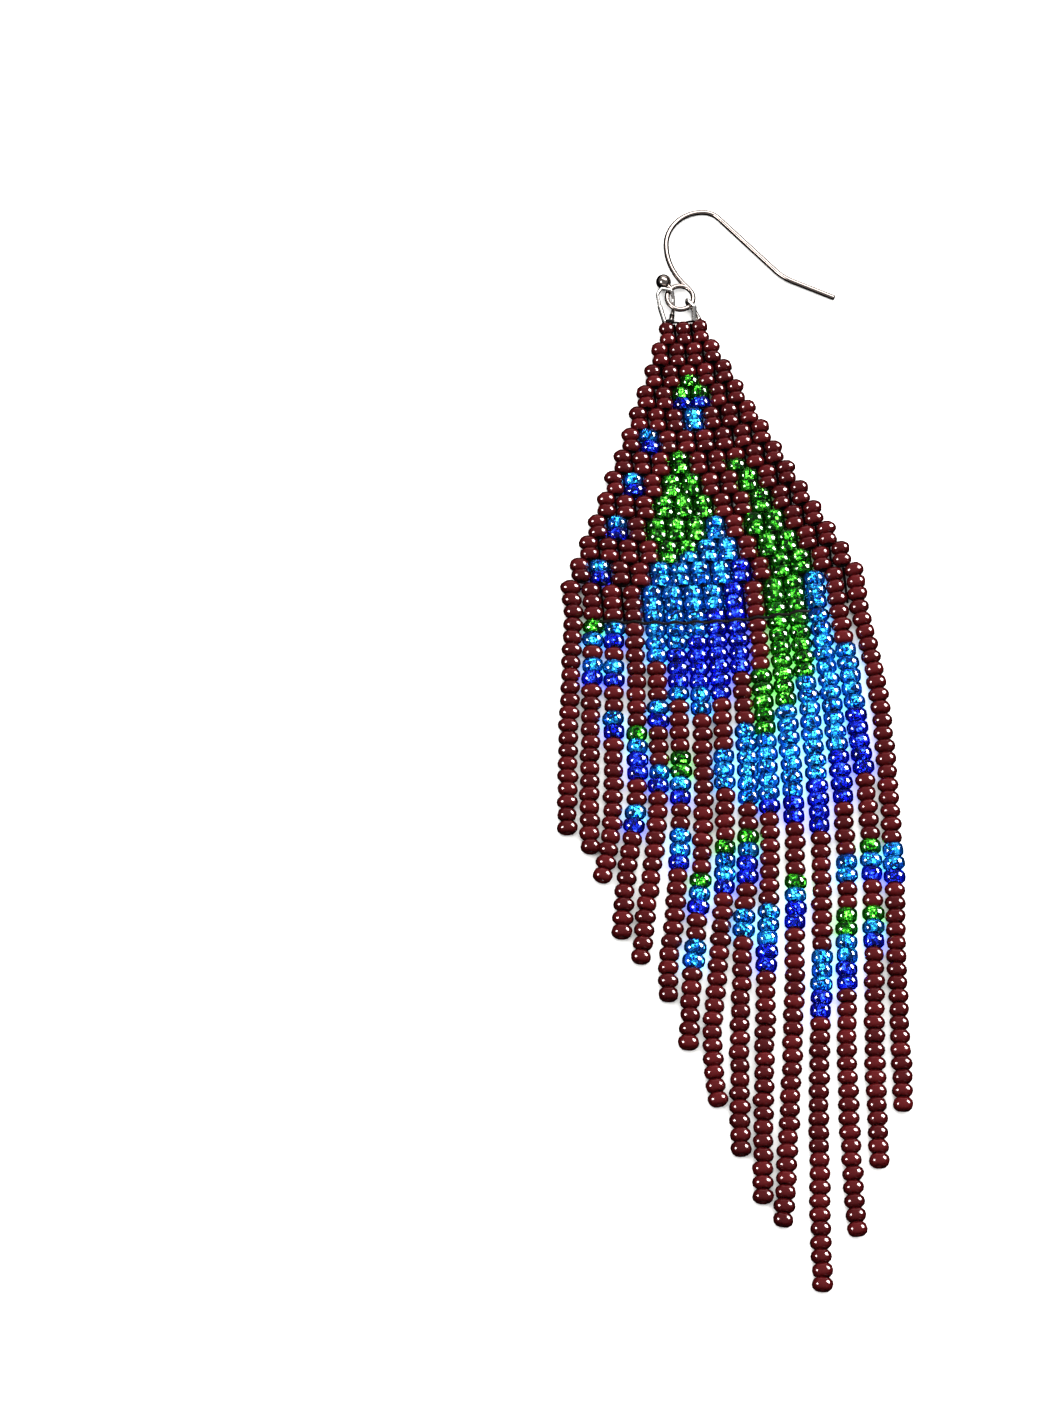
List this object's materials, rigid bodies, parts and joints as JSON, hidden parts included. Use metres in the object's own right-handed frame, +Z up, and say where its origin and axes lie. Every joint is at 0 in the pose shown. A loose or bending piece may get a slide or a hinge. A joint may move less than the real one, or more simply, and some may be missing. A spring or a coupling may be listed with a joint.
{
  "type": "beaded fringe earring",
  "caption": "Fringe earring lying flat: a woven triangle of seed beads with a slanting fringe of bead strings, linked to a wire ear hook by wire guards.",
  "frame": {"origin": "middle of the part's outline, on the surface it lies on", "axes": "+X across the beadwork to the right, +Y from the fringe to the hook, +Z up from the surface"},
  "size_m": [0.0396, 0.1316, 0.0021],
  "materials": {
    "hook_steel": "bright polished wire",
    "guard_steel": "bright plated wire and tube",
    "bead_glass": "glossy pressed glass seed beads, opaque dark red with silver-lined green, aqua and blue"
  },
  "bodies": {
    "root": {"ear_hook": "hook_steel", "guard_left": "guard_steel", "guard_right": "guard_steel", "bead_triangle": "bead_glass", "base_row": "bead_glass", "strand_01": "bead_glass", "strand_02": "bead_glass", "strand_03": "bead_glass", "strand_04": "bead_glass", "strand_05": "bead_glass", "strand_06": "bead_glass", "strand_07": "bead_glass", "strand_08": "bead_glass", "strand_09": "bead_glass", "strand_10": "bead_glass", "strand_11": "bead_glass", "strand_12": "bead_glass", "strand_13": "bead_glass", "strand_14": "bead_glass", "strand_15": "bead_glass"}
  },
  "joints": []
}
